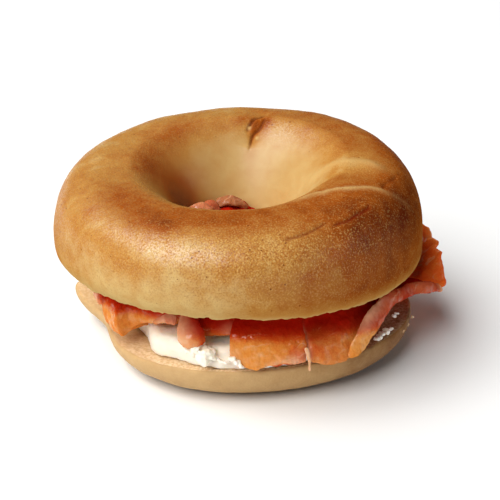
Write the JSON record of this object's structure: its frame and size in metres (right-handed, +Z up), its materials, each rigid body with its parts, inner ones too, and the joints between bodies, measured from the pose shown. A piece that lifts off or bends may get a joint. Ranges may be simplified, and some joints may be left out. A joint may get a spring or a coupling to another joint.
{
  "type": "bagel sandwich",
  "caption": "Filled bread ring cut through the middle, with soft cheese and folded smoked salmon between its halves and a hole down its centre.",
  "frame": {"origin": "centre of the sandwich's box on the surface that its base rests on", "axes": "+Z up, -Y to the front, where the filling shows most, +X to the right seen from the front, where a salmon slice hangs out"},
  "size_m": [0.1192, 0.109, 0.0614],
  "materials": {
    "golden_crust": "baked crust, golden brown with a soft shine",
    "pale_crust": "baked crust, pale tan and dull, with a cream cut face",
    "cream_cheese": "soft spread, off-white and lightly lumpy",
    "smoked_salmon": "moist sliced fish, orange with pale grain lines"
  },
  "bodies": {
    "root": {"bagel_top": "golden_crust", "bagel_bottom": "pale_crust", "cream_cheese": "cream_cheese", "salmon_left": "smoked_salmon", "salmon_roll": "smoked_salmon", "salmon_front": "smoked_salmon", "salmon_right": "smoked_salmon", "salmon_flap": "smoked_salmon", "salmon_rear": "smoked_salmon", "salmon_rear_left": "smoked_salmon", "salmon_fold": "smoked_salmon"}
  },
  "joints": []
}
